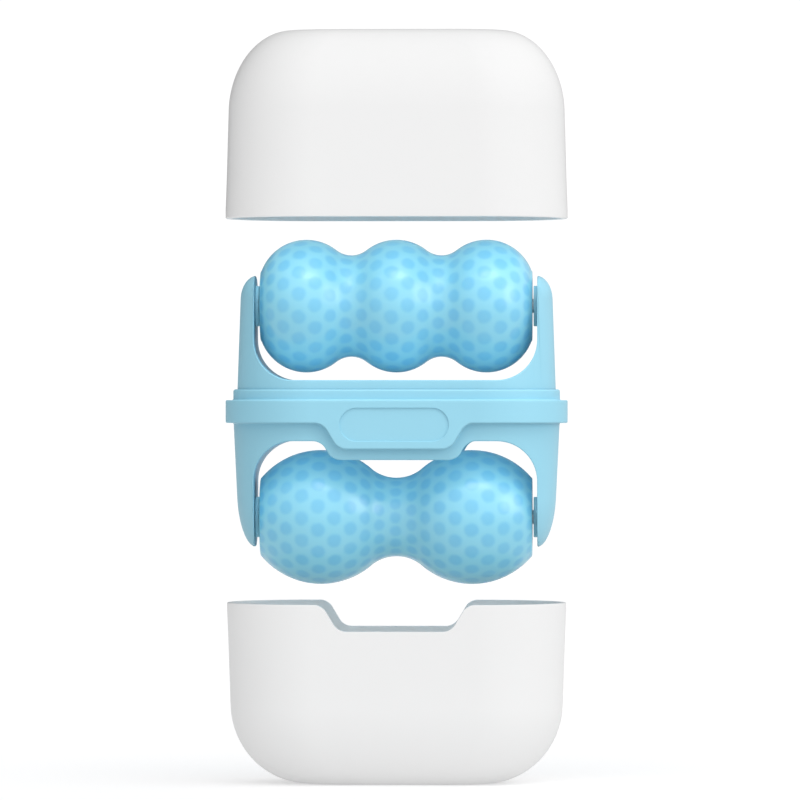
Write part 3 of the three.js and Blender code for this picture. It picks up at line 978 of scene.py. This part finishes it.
def countDots(piece, arcs, end, height, start):
    # the map that places the dots: rings along the roller, dots round it, none off its surface
    layer = piece.data.uv_layers.new(name="dots")
    whole = lengthTo(arcs, end, end)
    for face in piece.data.polygons:
        turns = []
        for corner in face.vertices:
            place = piece.data.vertices[corner].co
            turns.append(math.atan2(place.y, place.z - height) / (2 * math.pi) % 1.0)
        crosses = max(turns) - min(turns) > 0.5
        middle = face.center
        facing = face.normal.dot(Vector((0, middle.y, middle.z - height))) > 0
        plain = not facing or abs(face.normal.x) > 0.93 or abs(middle.x) > end - 0.3 * mm
        for loop, corner, turn in zip(face.loop_indices, face.vertices, turns):
            if crosses and turn < 0.5:
                turn += 1.0
            along = lengthTo(arcs, end, piece.data.vertices[corner].co.x) - whole / 2
            layer.data[loop].uv = (0.5, 0.25) if plain else (
                along / skinLook["pitch"] + start[0], turn * skinLook["aroundRing"] + start[1])


def makeSkin(name, height):
    arcs = rollerArcs[name]
    end, inner = rollerLook["end"] * mm, rollerLook["innerEnd"] * mm
    lip, edge = rollerLook["lip"] * mm, rollerLook["edge"] * mm
    outer = profile(arcs, 0, end - edge * 0.6, rollerLook["rings"])
    last = outer[-1][1]
    turnIn = [(end - edge * back, last - edge * down) for back, down in skinCorner]
    turnIn += [(end, lip + edge * 0.4), (end - edge * 0.4, lip)]
    lining = profile(arcs, rollerLook["skin"] * mm, inner, rollerLook["liningRings"])
    loop = [(-x, r) for x, r in reversed(turnIn)] + outer + turnIn
    loop += [(inner, lip)] + lining[::-1] + [(-inner, lip)]
    loop.append(loop[0])
    piece = spun(name + "RollerSkin", loop, height, rollerLook["steps"])
    smooth(piece, rollerLook["smooth"])
    countDots(piece, arcs, end, height, skinLook["start"][name])
    dress(piece, skinMaterial(height))
    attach(piece, name + "_roller")
    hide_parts(name + "_roller_skin")


bushLook = {"flange": 8.0, "sleeve": 4.8, "sleeveEnd": 36.0, "bore": 2.85, "edge": 0.35}
spacerLook = {"radius": 7.1, "inner": 48.1, "outer": 49.35, "bore": 2.85, "edge": 0.2}
axleLook = {"radius": 2.5, "halfLength": 53.0, "edge": 0.5}
roundSteps = {"bush": 64, "spacer": 72, "axle": 40, "screw": 48}


def inMetres(look):
    return {key: value * mm for key, value in look.items()}


def makeBush(name, height):
    look = inMetres(bushLook)
    end, inner, edge = rollerLook["end"] * mm, rollerLook["innerEnd"] * mm, look["edge"]
    return spun(name, [
        (look["sleeveEnd"], look["bore"]), (look["sleeveEnd"], look["sleeve"] - edge),
        (look["sleeveEnd"] + edge, look["sleeve"]), (inner, look["sleeve"]),
        (inner, look["flange"]), (end - edge, look["flange"]), (end, look["flange"] - edge),
        (end, look["bore"] + edge), (end - edge, look["bore"]), (look["sleeveEnd"], look["bore"]),
    ], height, roundSteps["bush"])


def makeSpacer(name, height):
    look = inMetres(spacerLook)
    inner, outer, edge = look["inner"], look["outer"], look["edge"]
    return spun(name, [
        (inner, look["bore"]), (inner, look["radius"] - edge), (inner + edge, look["radius"]),
        (outer - edge, look["radius"]), (outer, look["radius"] - edge), (outer, look["bore"]),
        (inner, look["bore"]),
    ], height, roundSteps["spacer"])


def makeAxle(name, height):
    look = inMetres(axleLook)
    half, radius, edge = look["halfLength"], look["radius"], look["edge"]
    return spun(name, [
        (-half, 0), (-half, radius - edge), (edge - half, radius), (half - edge, radius),
        (half, radius - edge), (half, 0),
    ], height, roundSteps["axle"])


def settle(piece, node, body, material):
    smooth(piece, edges["sharp"])
    dress(piece, material)
    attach(piece, body)
    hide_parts(node)


def makeStations():
    for name, height in (("upper", upperAxis), ("lower", lowerAxis)):
        makeSkin(name, height)
        settle(makeAxle(name + "Axle", height), name + "_axle", "frame",
               brightSteel)
        turn = Matrix.Rotation(math.pi, 4, "Z")
        for make, part, body, slot, material in (
                (makeBush, "bush", name + "_roller", "natural_plastic", bushWhite),
                (makeSpacer, "spacer", "frame", "frame_blue", spacerBluePaintedLight)):
            right = make(name + "Right" + part.capitalize(), height)
            left = copyOf(right, name + "Left" + part.capitalize(), turn)
            settle(right, name + "_right_" + part, body, material)
            settle(left, name + "_left_" + part, body, material)
        dress(frame["nodes"][name + "_roller_core"], coreNatural)
        print(name, "roller made")


makeStations()

screwLook = {"shank": 1.45, "head": 3.0, "headDepth": 1.6, "length": 15.0, "below": 0.15,
             "point": 2.2, "pitch": 1.25, "thread": 0.22, "plain": 0.5,
             "rim": 0.2, "rimTop": 0.05, "rimIn": 0.12,
             "cross": 0.45, "crossReach": 1.8, "crossDepth": 1.1}
threadShare = 0.35     # of each turn of thread that rises


def makeScrew(name, x, y):
    look = inMetres(screwLook)
    top = heightAt(channel["floor"]) - look["below"]
    shank, head, pitch, root = look["shank"], look["head"], look["pitch"], look["thread"]
    along = top - look["length"] + look["point"]
    points = [(top - look["length"], 0), (along, shank - root)]
    while along + pitch < top - look["headDepth"] - look["plain"]:
        points += [(along + pitch * threadShare, shank), (along + pitch, shank - root)]
        along += pitch
    points += [(top - look["headDepth"], shank), (top - look["rim"] - look["rimTop"], head),
               (top - look["rimTop"], head), (top, head - look["rimIn"]), (top, 0)]
    piece = spun(name, points, steps=roundSteps["screw"], axis="Z", middle=(x, y))
    wide, thin = look["crossReach"], look["cross"]
    for halfX, halfY in ((wide, thin), (thin, wide)):
        slot = block("slotTool", (x - halfX, y - halfY, top - look["crossDepth"]),
                     (x + halfX, y + halfY, top + mm))
        combine(piece, slot)
    return piece


def makeScrews():
    first = makeScrew("deckScrew1", *screwPlaces[0])
    for i, (x, y) in enumerate(screwPlaces):
        shift = (x - screwPlaces[0][0], y - screwPlaces[0][1], 0)
        piece = first if not i else copyOf(first, f"deckScrew{i + 1}", shift=shift)
        settle(piece, f"deck_screw_{i + 1}", "frame", brightSteel)


makeScrews()
print("screws made")


stageLook = {
    "size": 400.0,
    "color": (0.93, 0.93, 0.935),    # what the camera sees of the floor
    "lift": 0.24,                    # a little light of its own, so that it stays white
    "bounce": 0.5,                   # how much light it throws back up at the object
    "glow": 0.35,                    # what it adds of its own, so that nothing below goes black
    "roughness": 0.8,
}


def seenAs(tree, output, lighting, seen):
    # the camera sees one shader, and all else is lit by the other
    ray = addNode(tree, "ShaderNodeLightPath")
    mix = addNode(tree, "ShaderNodeMixShader", {
        0: ray.outputs["Is Camera Ray"], 1: lighting.outputs[0], 2: seen.outputs[0]})
    tree.links.new(mix.outputs[0], output.inputs["Surface"])


def makeFloor():
    deselect()
    bpy.ops.mesh.primitive_plane_add(size=stageLook["size"])
    floor = bpy.context.object
    floor.name = "floor"
    material, shader = newMaterial(
        "paleFloor", stageLook["color"], stageLook["roughness"], Specular_IOR_Level=0.0,
        Emission_Color=(1, 1, 1, 1), Emission_Strength=stageLook["lift"])
    tree = material.node_tree
    throws = addNode(tree, "ShaderNodeBsdfDiffuse", {"Color": (*[stageLook["bounce"]] * 3, 1)})
    glows = addNode(tree, "ShaderNodeEmission", {"Strength": stageLook["glow"]})
    plain = addNode(tree, "ShaderNodeAddShader", {0: throws.outputs[0], 1: glows.outputs[0]})
    seenAs(tree, tree.nodes["Material Output"], plain, shader)
    dress(floor, material)
    floor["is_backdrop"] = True


view = {
    "azimuth": 1.6, "distance": 2.3, "frameWidth": 0.2807,
    "rise": 0.0024,      # how far above the object's middle the camera looks
    "aside": 0.0012,     # and how far to the right of it
    "farthest": 500,
}


def makeCamera():
    low, high = cadBox
    turn = math.radians(view["azimuth"])
    right = Vector((math.cos(turn), math.sin(turn), 0))
    back = Vector((math.sin(turn), -math.cos(turn), 0))
    aim = Vector([(a + b) / 2 for a, b in zip(low, high)])
    aim += right * view["aside"] + Vector((0, 0, view["rise"]))
    data = bpy.data.cameras.new("camera")
    data.lens = data.sensor_width * view["distance"] / view["frameWidth"]
    data.clip_end = view["farthest"]
    camera = bpy.data.objects.new("camera", data)
    camera.location = aim + back * view["distance"]
    camera.rotation_euler = (-back).to_track_quat("-Z", "Y").to_euler()
    bpy.context.collection.objects.link(camera)
    bpy.context.scene.camera = camera


# Two softboxes light what lies between the caps, and two plain fills only lift the rollers.
softboxes = {
    "overhead": {"azimuth": 14, "elevation": 66, "distance": 1.5, "size": 0.9, "power": 9.8},
    "right": {"azimuth": 60, "elevation": 20, "distance": 1.6, "size": 0.7, "power": 4.0},
    "topFill": {"azimuth": 0, "elevation": 80, "distance": 1.5, "size": 0.9, "power": 11.0,
                "rollersOnly": True},
    "lowFill": {"azimuth": 0, "elevation": -78, "distance": 1.5, "size": 0.9, "power": 7.0,
                "color": (1.0, 0.92, 0.84), "rollersOnly": True},
}
# The room's own light: its mean, how it grows to the right, to the front and upwards, and how
# much a dark screen behind the left takes away.
room = {"mean": 0.75, "toward": (0.265, -0.36, 0.24), "seen": 1.05,
        "screen": 0.38, "screenAt": (-0.8, 0.6, 0.0), "least": 0.15}


def makeLights():
    middle = Vector([(a + b) / 2 for a, b in zip(*cadBox)])
    core = bpy.data.collections.new("core")
    rollers = bpy.data.collections.new("rollers")
    spacers = bpy.data.collections.new("spacers")
    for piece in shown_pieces():
        bodies = body_of(piece)
        if bodies not in (["case_base"], ["case_lid"]):
            core.objects.link(piece)
        if bodies in (["upper_roller"], ["lower_roller"]) or "Spacer" in piece.name:
            rollers.objects.link(piece)
        if "Spacer" in piece.name:
            spacers.objects.link(piece)
    for name, box in softboxes.items():
        turn, lift = math.radians(box["azimuth"]), math.radians(box["elevation"])
        out = Vector((math.sin(turn) * math.cos(lift), -math.cos(turn) * math.cos(lift),
                      math.sin(lift)))
        data = bpy.data.lights.new(name, "AREA")
        data.energy = box["power"]
        data.size = box["size"]
        data.color = box.get("color", (1, 1, 1))
        light = bpy.data.objects.new(name, data)
        light.location = middle + out * box["distance"]
        light.rotation_euler = (-out).to_track_quat("-Z", "Y").to_euler()
        bpy.context.collection.objects.link(light)
        fills = box.get("rollersOnly", False)
        light.visible_glossy = not fills
        light.light_linking.receiver_collection = rollers if fills else core
        light.light_linking.blocker_collection = spacers if fills else core
    world = bpy.data.worlds.new("studio")
    bpy.context.scene.world = world
    world.use_nodes = True
    tree = world.node_tree
    way = addNode(tree, "ShaderNodeTexCoord").outputs["Generated"]
    slope = addNode(tree, "ShaderNodeVectorMath", {0: way, 1: room["toward"]},
                    operation="DOT_PRODUCT").outputs["Value"]
    lit = tree.nodes["Background"]
    lit.inputs["Color"].default_value = (1, 1, 1, 1)
    hidden = addNode(tree, "ShaderNodeVectorMath", {0: way, 1: room["screenAt"]},
                     operation="DOT_PRODUCT").outputs["Value"]
    hidden = mathNode(tree, "POWER", mathNode(tree, "MAXIMUM", hidden, 0.0), 2.0)
    given = mathNode(tree, "ADD", slope, room["mean"])
    given = mathNode(tree, "SUBTRACT", given, mathNode(tree, "MULTIPLY", hidden, room["screen"]))
    given = mathNode(tree, "MAXIMUM", given, room["least"])
    tree.links.new(given, lit.inputs["Strength"])
    seen = addNode(tree, "ShaderNodeBackground", {"Color": (1, 1, 1, 1),
                                                  "Strength": room["seen"]})
    seenAs(tree, tree.nodes["World Output"], lit, seen)


makeFloor()
makeCamera()
makeLights()
print("stage made")
